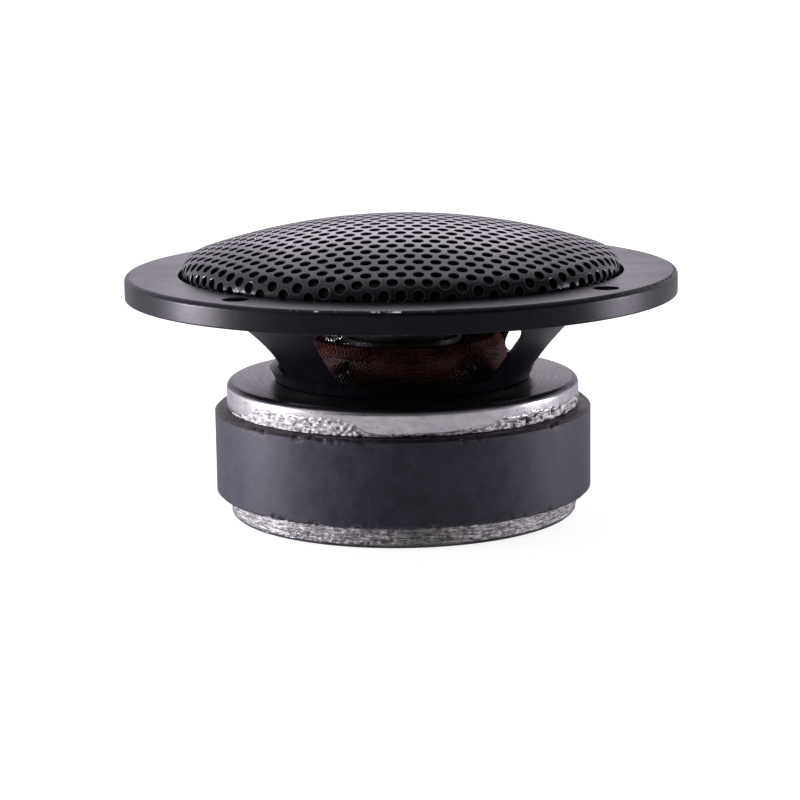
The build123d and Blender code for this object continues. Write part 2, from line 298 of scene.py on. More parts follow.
    def finish(self, **sockets: Socket | float | Colour) -> bpy.types.Material:
        """Fills the main shader and gives the material.

        Args:
            sockets: Values by the shader's socket name, with underscores for spaces.

        Returns:
            The finished material.
        """
        for key, value in sockets.items():
            target = self.shader.inputs[key.replace("_", " ")]
            is_colour = isinstance(value, tuple) and target.type == "RGBA"
            self.feed(target, (*value, 1.0) if is_colour else value)
        return self.material


# ---------------------------------------------------------------------------
# Finishes
# ---------------------------------------------------------------------------


@dataclass(frozen=True)
class Enamel:
    """Satin black enamel over steel, rubbed bright along chosen edges; the bare metal sits mostly on the side
    facing the camera, partly wear and partly a painted highlight.

    Args:
        name: The material's name.
        colour: The enamel's colour.
        roughness: The enamel's mean roughness.
        density: The enamel's index of refraction.
        worn_and_highlight_rings: (radius, height, reach) of edges that are rubbed bright, partly wear and
            partly painted highlight, in millimetres.
        dust: How much pale dust lies on the enamel.
        rim: How pale the edges of its holes are, where the mesh marks them.
    """

    name: str
    colour: Colour = (0.0030, 0.0030, 0.0055)
    roughness: float = 0.33
    density: float = 1.28
    worn_and_highlight_rings: tuple[tuple[float, float, float], ...] = ()
    dust: float = 0.0
    rim: float = 0.0

    def _wear_and_highlight(self, graph: Graph) -> Socket | float:
        """Finds where the enamel is rubbed through: wear, plus a painted highlight of bare metal on the side
        facing the camera.
        """
        x, y, z = graph.place()
        r = graph.radius()
        patchy = graph.cloud(graph.around(9.0, 0.6, 0.6), 1.6, 4.0, 0.7)
        # Bare metal is favoured on the side facing the camera: a painted highlight along the edges, on top of
        # the wear.
        front = graph.step(graph.math("MULTIPLY_ADD", x, 0.25, y), -49.0, -52.0, 0.20)
        share: Socket | float = 0.0
        for ring_r, ring_z, reach in self.worn_and_highlight_rings:
            off_r = graph.math("ABSOLUTE", graph.math("SUBTRACT", r, ring_r))
            off_z = graph.math("ABSOLUTE", graph.math("SUBTRACT", z, ring_z))
            near = graph.step(graph.math("MAXIMUM", off_r, off_z), reach, 0.25 * reach)
            rubbed = graph.step(graph.math("ADD", patchy, front), 0.70, 0.80)
            share = graph.math("MAXIMUM", share, graph.math("MULTIPLY", near, rubbed))
        return share

    def material(self) -> bpy.types.Material:
        """Makes the enamel."""
        graph = Graph(self.name)
        mm = graph.in_mm()
        grain = graph.cloud(mm, 3.2, 2.0)
        smear = graph.cloud(mm, 0.10, 5.0, 0.6)
        specks = graph.step(graph.cells(mm, 0.55), 0.10, 0.04)
        dusty = graph.math("MULTIPLY", graph.step(graph.cloud(mm, 0.5, 4.0, 0.7), 0.52, 0.72), self.dust)
        coat = graph.blend(graph.math("MAXIMUM", dusty, graph.math("MULTIPLY", specks, self.dust)),
                           self.colour, (0.16, 0.15, 0.15))
        rough = graph.math("ADD", graph.step(smear, 0.35, 0.7, 0.06), self.roughness - 0.02)
        normal = graph.bump(grain, 0.010)
        if self.rim:
            low_down = graph.step(graph.radius(), 22.0, 38.0, self.rim)
            marked = graph.math("MULTIPLY", graph.painted("rim"), low_down)
            coat = graph.blend(marked, coat, (0.10, 0.095, 0.11))
        if not self.worn_and_highlight_rings:
            return graph.finish(Base_Color=coat, Roughness=rough, Normal=normal, IOR=self.density)
        # Blends in bare steel where rubbed: wear, plus a painted highlight on the side facing the camera.
        worn_and_highlight = self._wear_and_highlight(graph)
        return graph.finish(
            Base_Color=graph.blend(worn_and_highlight, coat, (0.72, 0.71, 0.70)),
            Metallic=worn_and_highlight,
            Roughness=rough,
            Normal=graph.bump(worn_and_highlight, -0.04, normal),
            IOR=self.density,
        )


@dataclass(frozen=True)
class PlatedSteel:
    """Zinc-plated punched plate: stained faces with turning marks, a sheared and torn edge, and a painted
    dark reflection on the rolled edge.

    Args:
        name: The material's name.
        edge_radius: Radius beyond which the surface is the punched edge, in millimetres.
        stain: How brown the faces are.
        edge_colour: The bright metal of the edge.
        grain: Fineness of the tear round the edge and up it.
    """

    name: str
    edge_radius: float
    stain: float = 0.6
    edge_colour: Colour = (0.70, 0.70, 0.67)
    grain: tuple[float, float] = (26.0, 2.2)

    def material(self) -> bpy.types.Material:
        """Makes the plated steel, reading the mesh's torn, pitted and rolled shares; the rolled share gets a
        painted dark reflection.
        """
        graph = Graph(self.name)
        mm = graph.in_mm()
        torn = graph.painted("torn")
        pitted = graph.painted("pitted")
        rolled = graph.painted("rolled")
        rings = graph.cloud(graph.around(2.2, 5.0, 0.0), 1.0, 5.0, 0.75)
        blotch = graph.cloud(mm, 0.13, 6.0, 0.62)
        swirl = graph.cloud(graph.around(14.0, 0.9, 0.0), 1.0, 5.0, 0.7)
        grime = graph.step(blotch, 0.40, 0.72, self.stain)
        face = graph.blend(graph.step(rings, 0.30, 0.70), (0.115, 0.105, 0.093), (0.235, 0.22, 0.205))
        face = graph.blend(grime, face, (0.20, 0.165, 0.15))
        face = graph.blend(graph.step(swirl, 0.62, 0.70, 0.5), face, (0.10, 0.085, 0.08))
        flakes = graph.cells(mm, 2.6)
        crumbs = graph.cloud(graph.around(self.grain[0], 0.0, self.grain[1]), 1.0, 6.0, 0.75)
        shear = graph.blend(graph.step(graph.cloud(graph.around(14.0, 0.0, 0.9), 1.0, 5.0, 0.7), 0.35, 0.75),
                            self.edge_colour, (0.50, 0.485, 0.51))
        bright = tuple(min(1.0, 1.22 * c) for c in self.edge_colour)
        tear = graph.blend(graph.step(crumbs, 0.40, 0.62), tuple(0.28 * c for c in self.edge_colour), bright)
        tear = graph.blend(graph.step(flakes, 0.30, 0.10, 0.7), tear, (0.85, 0.84, 0.84))
        edge = graph.blend(torn, shear, tear)
        edge = graph.blend(graph.step(graph.cells(mm, 0.8), 0.14, 0.08, 0.8), edge, (0.06, 0.05, 0.05))
        # Painted dark reflection: the rolled edge is coloured dark to stand for the dark parts that it
        # reflects.
        roll = graph.blend(graph.step(blotch, 0.35, 0.65), (0.06, 0.058, 0.066), (0.14, 0.135, 0.145))
        side = graph.step(graph.radius(), self.edge_radius - 0.9, self.edge_radius - 0.3)
        colour = graph.blend(side, face, edge)
        colour = graph.blend(rolled, colour, roll)
        colour = graph.blend(pitted, colour, (0.03, 0.025, 0.025))
        rough = graph.math("ADD", graph.step(rings, 0.2, 0.8, 0.20), 0.16)
        rough = graph.math("MAXIMUM", rough, graph.math("MULTIPLY", torn, 0.50))
        normal = graph.bump(rings, 0.03)
        normal = graph.bump(graph.math("MULTIPLY", crumbs, torn), 0.28, normal)
        return graph.finish(Base_Color=colour, Metallic=0.92, Specular_Tint=(0.66, 0.65, 0.68),
                            Roughness=rough, Normal=normal)


@dataclass(frozen=True)
class Ferrite:
    """Sintered ferrite: dull, dark, slightly blue, with mottling, scratches and dust near its top edge.

    Args:
        name: The material's name.
        top_z: Height of the ring's upper edge, in millimetres.
    """

    name: str
    top_z: float

    def material(self) -> bpy.types.Material:
        """Makes the ferrite, reading the mesh's chipped share."""
        graph = Graph(self.name)
        mm = graph.in_mm()
        _, _, z = graph.place()
        mottle = graph.cloud(mm, 0.28, 6.0, 0.66)
        grain = graph.cloud(mm, 5.0, 3.0, 0.6)
        streak = graph.cloud(graph.around(55.0, 0.0, 0.10), 1.0, 3.0, 0.6)
        scratch = graph.step(graph.cloud(graph.around(20.0, 0.0, 1.6), 1.0, 5.0, 0.8), 0.64, 0.69, 0.5)
        base = graph.blend(graph.step(mottle, 0.3, 0.7), (0.021, 0.021, 0.032), (0.044, 0.044, 0.060))
        base = graph.blend(graph.step(streak, 0.55, 0.85, 0.30), base, (0.040, 0.039, 0.052))
        base = graph.blend(scratch, base, (0.075, 0.073, 0.085))
        near_top = graph.step(z, self.top_z - 1.3, self.top_z)
        dusty = graph.math("MULTIPLY", near_top, graph.step(mottle, 0.2, 0.6))
        base = graph.blend(graph.math("MULTIPLY", dusty, 0.75), base, (0.050, 0.037, 0.036))
        chipped = graph.painted("chipped")
        base = graph.blend(chipped, base, (0.09, 0.086, 0.095))
        rough = graph.math("ADD", graph.step(mottle, 0.2, 0.8, 0.18), 0.42)
        normal = graph.bump(grain, 0.025)
        normal = graph.bump(mottle, 0.06, normal)
        return graph.finish(Base_Color=base, Roughness=rough, Normal=normal, IOR=1.4)


@dataclass(frozen=True)
class ResinCloth:
    """Open-weave cotton stiffened with brown resin.

    Args:
        name: The material's name.
        light: The colour where the resin is thin.
        dark: The colour where it has pooled.
    """

    name: str
    light: Colour = (0.110, 0.035, 0.021)
    dark: Colour = (0.024, 0.006, 0.005)

    def material(self) -> bpy.types.Material:
        """Makes the cloth."""
        graph = Graph(self.name)
        mm = graph.in_mm()
        pooled = graph.cloud(mm, 0.35, 4.0, 0.6)
        fibre = graph.cloud(mm, 9.0, 3.0, 0.6)
        colour = graph.blend(graph.step(pooled, 0.35, 0.65), self.light, self.dark)
        colour = graph.blend(graph.step(fibre, 0.45, 0.75, 0.5), colour, (0.20, 0.083, 0.053))
        rough = graph.math("ADD", graph.step(pooled, 0.3, 0.7, -0.18), 0.62)
        normal = graph.bump(fibre, 0.03)
        return graph.finish(Base_Color=colour, Roughness=rough, Specular_IOR_Level=0.12, Normal=normal)


@dataclass(frozen=True)
class Weave:
    """Fine black woven cloth.

    Args:
        name: The material's name.
        colour: The yarn's colour.
        pitch: Distance between yarns, in millimetres.
        shine: The doped surface's roughness.
    """

    name: str
    colour: Colour = (0.018, 0.018, 0.020)
    pitch: float = 0.35
    shine: float = 0.75

    def material(self) -> bpy.types.Material:
        """Makes the cloth."""
        graph = Graph(self.name)
        x, y, _ = graph.place()
        turn = TURN / self.pitch
        warp = graph.math("SINE", graph.math("MULTIPLY", x, turn))
        weft = graph.math("SINE", graph.math("MULTIPLY", y, turn))
        crossing = graph.math("MULTIPLY", warp, weft)
        yarn = graph.step(crossing, -0.8, 0.8)
        fuzz = graph.cloud(graph.in_mm(), 1.2, 4.0, 0.7)
        colour = graph.blend(yarn, tuple(0.45 * c for c in self.colour), self.colour)
        colour = graph.blend(graph.step(fuzz, 0.60, 0.80, 0.4), colour, (0.07, 0.07, 0.075))
        rough = graph.math("ADD", graph.step(fuzz, 0.3, 0.7, 0.15), self.shine - 0.08)
        return graph.finish(Base_Color=colour, Roughness=rough, Normal=graph.bump(yarn, 0.06))


@dataclass(frozen=True)
class PressedPaper:
    """Felted paper pulp or board with a fibrous surface.

    Args:
        name: The material's name.
        colour: The paper's colour.
        fibre_colour: The colour of the fibres that stand out.
        depth: How deep the fibres are, in millimetres.
    """

    name: str
    colour: Colour = (0.014, 0.014, 0.016)
    fibre_colour: Colour = (0.045, 0.045, 0.05)
    depth: float = 0.08

    def material(self) -> bpy.types.Material:
        """Makes the paper."""
        graph = Graph(self.name)
        mm = graph.in_mm()
        pulp = graph.cloud(mm, 0.9, 6.0, 0.75)
        fibre = graph.cloud(graph.around(16.0, 1.2, 0.4), 1.0, 6.0, 0.8)
        colour = graph.blend(graph.step(fibre, 0.48, 0.72), self.colour, self.fibre_colour)
        rough = graph.math("ADD", graph.step(pulp, 0.3, 0.7, 0.12), 0.74)
        normal = graph.bump(fibre, self.depth, graph.bump(pulp, self.depth))
        return graph.finish(Base_Color=colour, Roughness=rough, Normal=normal)


@dataclass(frozen=True)
class Metal:
    """Plain small metal parts: brass, tin, copper wire or turned steel.

    Args:
        name: The material's name.
        colour: The clean metal.
        tarnish: The colour it dulls to.
        roughness: The clean metal's roughness.
        turned: Whether it carries turning marks round the axis.
    """

    name: str
    colour: Colour
    tarnish: Colour
    roughness: float = 0.3
    turned: bool = False

    def material(self) -> bpy.types.Material:
        """Makes the metal."""
        graph = Graph(self.name)
        mm = graph.in_mm()
        dull = graph.cloud(mm, 0.8, 5.0, 0.65)
        if self.turned:
            marks = graph.cloud(graph.around(1.5, 6.0, 6.0), 1.0, 4.0, 0.7)
        else:
            marks = graph.cloud(mm, 6.0, 3.0)
        colour = graph.blend(graph.step(dull, 0.42, 0.66, 0.8), self.colour, self.tarnish)
        rough = graph.math("ADD", graph.step(dull, 0.3, 0.7, 0.25), self.roughness)
        return graph.finish(Base_Color=colour, Metallic=0.95, Roughness=rough, Normal=graph.bump(marks, 0.02))


@dataclass(frozen=True)
class Laminate:
    """Brown resin-bonded paper board, with faint fibres and cut, paler edges.

    Args:
        name: The material's name.
        colour: The board's face.
        gloss: The face's roughness.
    """

    name: str
    colour: Colour = (0.20, 0.085, 0.035)
    gloss: float = 0.34

    def material(self) -> bpy.types.Material:
        """Makes the laminate."""
        graph = Graph(self.name)
        mm = graph.in_mm()
        x, _, z = graph.place()
        grain = graph.vector(graph.math("MULTIPLY", x, 0.6), 0.0, graph.math("MULTIPLY", z, 4.0))
        fibre = graph.cloud(grain, 1.0, 5.0)
        cloudy = graph.cloud(mm, 0.5, 4.0, 0.6)
        colour = graph.blend(graph.step(fibre, 0.35, 0.7), self.colour, tuple(0.55 * c for c in self.colour))
        colour = graph.blend(graph.step(cloudy, 0.55, 0.8, 0.5), colour, (0.30, 0.15, 0.07))
        rough = graph.math("ADD", graph.step(cloudy, 0.3, 0.7, 0.2), self.gloss)
        return graph.finish(Base_Color=colour, Roughness=rough, Normal=graph.bump(fibre, 0.02))


@dataclass(frozen=True)
class CuredGlue:
    """Dark contact glue that has run a little and set.

    Args:
        name: The material's name.
        colour: The glue's colour.
    """

    name: str
    colour: Colour = (0.020, 0.016, 0.014)

    def material(self) -> bpy.types.Material:
        """Makes the glue."""
        graph = Graph(self.name)
        mm = graph.in_mm()
        lumps = graph.cloud(mm, 1.1, 5.0, 0.6)
        colour = graph.blend(graph.step(lumps, 0.45, 0.7), self.colour, (0.055, 0.040, 0.032))
        rough = graph.math("ADD", graph.step(lumps, 0.3, 0.7, 0.3), 0.25)
        return graph.finish(Base_Color=colour, Roughness=rough, Normal=graph.bump(lumps, 0.12))


# ---------------------------------------------------------------------------
# Mesh helpers
# ---------------------------------------------------------------------------


def mesh_object(name: str, points: np.ndarray, faces: Iterable[Sequence[int]]) -> bpy.types.Object:
    """Makes a mesh object from points in millimetres.

    Args:
        name: The piece's name.
        points: One row per point.
        faces: Point numbers of each face.

    Returns:
        The object, at the origin.
    """
    mesh = bpy.data.meshes.new(name)
    mesh.from_pydata((points * MM).tolist(), [], list(faces))
    mesh.validate()
    obj = bpy.data.objects.new(name, mesh)
    bpy.context.scene.collection.objects.link(obj)
    return obj


def shade(obj: bpy.types.Object, sharp_degrees: float = 35.0) -> bpy.types.Object:
    """Smooths a mesh's shading, except over edges sharper than the limit.

    Args:
        obj: The object to shade.
        sharp_degrees: Edges that turn by more than this stay sharp.

    Returns:
        The same object.
    """
    mesh = bmesh.new()
    mesh.from_mesh(obj.data)
    bmesh.ops.recalc_face_normals(mesh, faces=mesh.faces)
    limit = math.radians(sharp_degrees)
    for face in mesh.faces:
        face.smooth = True
    for edge in mesh.edges:
        edge.smooth = len(edge.link_faces) != 2 or edge.calc_face_angle(0.0) < limit
    mesh.to_mesh(obj.data)
    mesh.free()
    return obj


def wear(obj: bpy.types.Object, material: bpy.types.Material) -> bpy.types.Object:
    """Puts one material on an object in place of any it has."""
    obj.data.materials.clear()
    obj.data.materials.append(material)
    return obj


def store(obj: bpy.types.Object, name: str, values: np.ndarray) -> None:
    """Stores one number per point on a mesh.

    Args:
        obj: The mesh's object.
        name: The attribute's name.
        values: One number per point.
    """
    attribute = obj.data.attributes.new(name, "FLOAT", "POINT")
    attribute.data.foreach_set("value", np.asarray(values, np.float32))


def soft_step(value: np.ndarray, low: float, high: float) -> np.ndarray:
    """Smooth step of an array from 0 at low to 1 at high; low may be above high."""
    t = np.clip((value - low) / (high - low), 0.0, 1.0)
    return t * t * (3 - 2 * t)


def arc(centre: tuple[float, float], radius: float, start: float, end: float, count: int) -> Outline:
    """Points along an arc of an outline.

    Args:
        centre: The arc's (radius, height) centre.
        radius: The arc's radius.
        start: Its first angle in degrees, counted from outwards towards up.
        end: Its last angle in degrees.
        count: How many points it has.

    Returns:
        The points, as (radius, height).
    """
    angles = [math.radians(start + (end - start) * i / (count - 1)) for i in range(count)]
    return [(centre[0] + radius * math.cos(a), centre[1] + radius * math.sin(a)) for a in angles]


def fine(line: Outline, spacing: float) -> Outline:
    """Adds points to an open line so that none are further apart than spacing."""
    points: Outline = []
    for (r0, z0), (r1, z1) in zip(line, line[1:]):
        count = max(1, math.ceil(math.hypot(r1 - r0, z1 - z0) / spacing))
        points += [(r0 + (r1 - r0) * i / count, z0 + (z1 - z0) * i / count) for i in range(count)]
    return points + [line[-1]]


Roughen = Callable[[np.ndarray, np.ndarray, np.ndarray], tuple[np.ndarray, np.ndarray]]


def lathe(name: str, outline: Outline, segments: int, roughen: Roughen | None = None) -> bpy.types.Object:
    """Turns a closed outline about the axis.

    Args:
        name: The piece's name.
        outline: (radius, height) points round the section, in millimetres.
        segments: How many steps the turn has.
        roughen: Gives each point's change of radius and height from its radius, azimuth and height.

    Returns:
        The turned object.
    """
    r, z = (np.array([p[i] for p in outline]) for i in (0, 1))
    turn = np.arange(segments) * TURN / segments
    rr, aa = np.meshgrid(r, turn)
    zz = np.broadcast_to(z, rr.shape).copy()
    if roughen is not None:
        dr, dz = roughen(rr.ravel(), aa.ravel(), zz.ravel())
        rr, zz = rr + dr.reshape(rr.shape), zz + dz.reshape(zz.shape)
    points = np.stack([rr * np.sin(aa), -rr * np.cos(aa), zz], -1).reshape(-1, 3)
    n = len(outline)
    faces = [
        (i * n + j, ((i + 1) % segments) * n + j, ((i + 1) % segments) * n + (j + 1) % n, i * n + (j + 1) % n)
        for i in range(segments)
        for j in range(n)
    ]
    return mesh_object(name, points, faces)


def ripple(scale: float, seed: float) -> Callable[[np.ndarray, np.ndarray, np.ndarray], np.ndarray]:
    """A noise field read at points given by radius, azimuth and height.

    Args:
        scale: How many bumps there are per millimetre.
        seed: Shifts the field, so that two fields differ.

    Returns:
        A function that gives the noise, from about -1 to 1.
    """

    def field_at(r: np.ndarray, a: np.ndarray, z: np.ndarray) -> np.ndarray:
        """Reads the noise at each point."""
        places = np.stack([r * np.sin(a) + seed, -r * np.cos(a), z], -1) * scale
        return np.array([noise.noise(Vector(p)) for p in places])

    return field_at


def node_size(node: str) -> tuple[float, float, float]:
    """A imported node's outer radius, lowest height and highest height, in millimetres."""
    low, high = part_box(node)
    return high.x / MM, low.z / MM, high.z / MM


def stand_in(piece: bpy.types.Object, node: str, body: Body | None = None) -> bpy.types.Object:
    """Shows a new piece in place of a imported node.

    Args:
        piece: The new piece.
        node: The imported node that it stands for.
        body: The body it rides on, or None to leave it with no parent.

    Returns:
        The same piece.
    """
    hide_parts(node)
    if body is not None:
        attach(piece, body.value)
    return piece


# ---------------------------------------------------------------------------
# Studio
# ---------------------------------------------------------------------------


@dataclass
class Studio:
    """A pale floor, a soft surround of light and the camera.

    Args:
        azimuth: The camera's azimuth, in degrees from the front towards +X.
        elevation: Its height above the horizon, in degrees.
        distance: Its distance from the flange's centre, in metres.
        roll: How far it leans, in degrees.
        aim: How far its view turns down and right of the flange's centre, in degrees.
        lens: Its focal length, in millimetres on a 36 mm sensor.
        bright_side: The direction that the surround is brightest in.
        falloff: How far towards that direction it is dimmest and brightest.
        levels: Its dimmest and brightest level.
        tint: The lamps' and the surround's colour.
        floor_glow: How far the floor is lifted towards white, in view and all round.
        floor_reach: How far the floor reaches to each side, in millimetres.
        lamp_aim: Height on the axis that the lamps face, in metres.
    """

    azimuth: float = -6.5
    elevation: float = 7.9
    distance: float = 0.450
    roll: float = -0.8
    aim: tuple[float, float] = (3.10, -0.02)
    lens: float = 109.2
    bright_side: tuple[float, float, float] = (-0.38, 0.88, 0.30)
    falloff: tuple[float, float] = (-0.30, 0.35)
    levels: tuple[float, float] = (0.07, 0.86)
    tint: Colour = (1.0, 0.93, 1.07)
    floor_glow: tuple[float, float] = (0.64, 0.22)
    floor_reach: float = 4000.0
    lamp_aim: float = 0.03

    def build(self, target: Vector) -> None:
        """Sets up the whole studio.

        Args:
            target: The point the camera is placed around.
        """
        self._camera(target)
        self._world()
        self._floor()
        self._lamp("key_left", Vector((-0.38, 0.02, 0.024)), (0.12, 0.036), 1.3)
        self._lamp("fill_right", Vector((0.38, -0.02, 0.024)), (0.10, 0.036), 0.6)
        self._lamp("behind", Vector((0.05, 0.46, 0.24)), (0.20, 0.18), 0.18)
        bpy.context.scene.view_settings.view_transform = "Standard"

    def _camera(self, target: Vector) -> None:
        """Places the camera."""
        a, e = math.radians(self.azimuth), math.radians(self.elevation)
        back = Vector((math.sin(a) * math.cos(e), -math.cos(a) * math.cos(e), math.sin(e)))
        data = bpy.data.cameras.new("camera")
        data.sensor_width, data.lens = 36.0, self.lens
        data.clip_start, data.clip_end = 0.01, 20.0
        camera = bpy.data.objects.new("camera", data)
        bpy.context.scene.collection.objects.link(camera)
        bpy.context.scene.camera = camera
        facing = (-back).to_track_quat("-Z", "Y")
        lean = Quaternion((0, 0, 1), math.radians(self.roll))
        down = Quaternion((1, 0, 0), -math.radians(self.aim[0]))
        side = Quaternion((0, 1, 0), -math.radians(self.aim[1]))
        camera.rotation_mode = "QUATERNION"
        camera.rotation_quaternion = facing @ lean @ down @ side
        camera.location = target + back * self.distance

    def _world(self) -> None:
        """Lights the object softly from behind and the left, and leaves the front dimmer."""
        world = bpy.data.worlds.new("studio")
        bpy.context.scene.world = world
        world.use_nodes = True
        tree = world.node_tree
        tree.nodes.clear()
        facing = tree.nodes.new("ShaderNodeVectorMath")
        facing.operation = "DOT_PRODUCT"
        tree.links.new(tree.nodes.new("ShaderNodeTexCoord").outputs["Generated"], facing.inputs[0])
        facing.inputs[1].default_value = self.bright_side
        rise = tree.nodes.new("ShaderNodeMapRange")
        rise.interpolation_type = "SMOOTHSTEP"
        tree.links.new(facing.outputs["Value"], rise.inputs["Value"])
        for key, value in zip(("From Min", "From Max", "To Min", "To Max"), (*self.falloff, *self.levels)):
            rise.inputs[key].default_value = value
        seen = tree.nodes.new("ShaderNodeLightPath").outputs["Is Camera Ray"]
        level = tree.nodes.new("ShaderNodeMath")
        level.operation = "MAXIMUM"
        tree.links.new(rise.outputs["Result"], level.inputs[0])
        tree.links.new(seen, level.inputs[1])
        background = tree.nodes.new("ShaderNodeBackground")
        background.inputs["Color"].default_value = (*self.tint, 1.0)
        tree.links.new(level.outputs[0], background.inputs["Strength"])
        output = tree.nodes.new("ShaderNodeOutputWorld")
        tree.links.new(background.outputs[0], output.inputs["Surface"])

    def _floor(self) -> None:
        """Makes the pale floor."""
        far = self.floor_reach
        corners = np.array([(-far, -far, 0.0), (far, -far, 0.0), (far, far, 0.0), (-far, far, 0.0)])
        floor = mesh_object("floor", corners, [(0, 1, 2, 3)])
        graph = Graph("floor_paper")
        paper = graph.cloud(graph.in_mm(), 0.02, 2.0)
        seen = graph.tree.nodes.new("ShaderNodeLightPath").outputs["Is Camera Ray"]
        pale = graph.blend(graph.step(paper, 0.2, 0.8), (0.58, 0.55, 0.60), (0.64, 0.61, 0.66))
        glow = graph.math("MULTIPLY_ADD", seen, *self.floor_glow)
        wear(floor, graph.finish(
            Base_Color=pale, Roughness=0.9, Specular_IOR_Level=0.1,
            Emission_Color=(1.0, 1.0, 1.0), Emission_Strength=glow,
        ))

    def _lamp(self, name: str, place: Vector, size: tuple[float, float], watts: float) -> None:
        """Adds one softbox that faces the object.

        Args:
            name: The lamp's name.
            place: Where it stands, in metres.
            size: Its width and height, in metres.
            watts: Its power.
        """
        data = bpy.data.lights.new(name, "AREA")
        data.shape = "RECTANGLE"
        data.size, data.size_y = size
        data.energy = watts
        data.color = self.tint
        lamp = bpy.data.objects.new(name, data)
        lamp.location = place
        lamp.rotation_mode = "QUATERNION"
        lamp.rotation_quaternion = (place - Vector((0, 0, self.lamp_aim))).to_track_quat("Z", "Y")
        bpy.context.scene.collection.objects.link(lamp)


# ---------------------------------------------------------------------------
# Motor
# ---------------------------------------------------------------------------


@dataclass
class PunchedPlate:
    """One punched steel disc with a rolled edge, a sheared band and a torn band.

    Args:
        node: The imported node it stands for.
        bore: Radius of its hole, in millimetres.
        rolled_up: Whether its rolled edge is the upper one.
        rollover: Radius of the rolled edge, in millimetres.
        tear: (azimuth, half width, height) of each torn stretch, in degrees and millimetres.
        base_tear: How high the tear reaches elsewhere, in millimetres.
        seed: Shifts its noise.
        stain: How stained its faces are.
        pits: (azimuth, half width) of the stretch with dark pits, in degrees.
        edge_colour: The bright metal of its edge.
        grain: Fineness of the tear round the edge and up it.
        tear_depth: The tear's mean depth and how far coarse and fine noise change it, in millimetres.
        pit_depth: The pits' depth, in millimetres.
        deepest: The depth that nothing in the edge passes, in millimetres.
        burr: How far the burrs stand up, in millimetres.
        margin: How far in from the edge the disc is finely divided, in millimetres.
        spacing: Distance between points of the finely divided section, in millimetres.
        segments: How many steps its turn has.
    """

    node: str
    bore: float
    rolled_up: bool
    rollover: float = 1.35
    tear: tuple[tuple[float, float, float], ...] = ()
    base_tear: float = 0.5
    seed: float = 0.0
    stain: float = 0.6
    pits: tuple[float, float] | None = None
    edge_colour: Colour = (0.70, 0.70, 0.67)
    grain: tuple[float, float] = (26.0, 2.2)
    tear_depth: tuple[float, float, float] = (0.22, 0.24, 0.16)
    pit_depth: float = 0.3
    deepest: float = 0.6
    burr: float = 0.12
    margin: float = 1.6
    spacing: float = 0.26
    segments: int = 720

    def _outline(self, radius: float, low: float, high: float) -> Outline:
        """The disc's section, with its edge finely divided."""
        roll = self.rollover
        if self.rolled_up:
            edge = [(radius, low)] + arc((radius - roll, high - roll), roll, 0, 90, 9)
        else:
            edge = arc((radius - roll, low + roll), roll, -90, 0, 9) + [(radius, high)]
        inward = radius - self.margin
        edge = [(inward, low), *edge, (inward, high)]
        return fine(edge, self.spacing) + [(self.bore, high), (self.bore, low)]

    def build(self) -> bpy.types.Object:
        """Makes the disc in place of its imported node.

        Returns:
            The disc.
        """
        radius, low, high = node_size(self.node)
        coarse = ripple(0.16, self.seed)
        crumb = ripple(1.1, self.seed + 40)
        fleck = ripple(2.6, self.seed + 80)
        found: dict[str, np.ndarray] = {}

        def roughen(r: np.ndarray, a: np.ndarray, z: np.ndarray) -> tuple[np.ndarray, np.ndarray]:
            """Tears the sheared edge and lifts thin burrs on it."""
            height = z - low if self.rolled_up else high - z
            flat = np.zeros_like(z)
            reach = self.base_tear + 0.7 * coarse(r, a, flat)
            for azimuth, half, tall in self.tear:
                off = np.abs((np.degrees(a) - azimuth + 180) % 360 - 180)
                reach = np.maximum(reach, tall * soft_step(off, half, 0.6 * half) + 0.5 * coarse(r, a, flat))
            side = soft_step(r, radius - 0.35, radius - 0.05)
            rough, speck = crumb(r, a, 2 * z), fleck(r, a, z)
            torn = soft_step(height + 0.35 * rough, reach + 0.25, reach - 0.1) * side
            pitted = np.zeros_like(z)
            if self.pits is not None:
                off = np.abs((np.degrees(a) - self.pits[0] + 180) % 360 - 180)
                pitted = soft_step(off, self.pits[1], 0.6 * self.pits[1]) * soft_step(rough, 0.28, 0.42)
                pitted *= side * soft_step(height, 2.6, 1.2)
            mean, lumpy, grainy = self.tear_depth
            depth = torn * (mean + lumpy * rough + grainy * speck) + self.pit_depth * pitted
            edge = soft_step(height, 0.5, 0.0) * side
            burr = edge * soft_step(coarse(r, 3 * a, flat), 0.05, 0.3) * np.abs(speck) * 0.5
            found.update(torn=torn, pitted=pitted)
            # The rolled share marks where the plate's material paints a dark reflection.
            near_roll = soft_step(height, high - low - 0.95, high - low - 0.55)
            found["rolled"] = near_roll * soft_step(r, radius - 1.0, radius - 0.75)
            down = -1.0 if self.rolled_up else 1.0
            return -np.clip(depth, 0.0, self.deepest), down * burr * self.burr

        disc = lathe(f"{self.node}_punched", self._outline(radius, low, high), self.segments, roughen)
        for name, values in found.items():
            store(disc, name, values)
        shade(disc, 50)
        zinc = PlatedSteel(f"{self.node}_zinc", radius, self.stain, self.edge_colour, self.grain)
        wear(disc, zinc.material())
        return stand_in(disc, self.node, Body.FRAME)


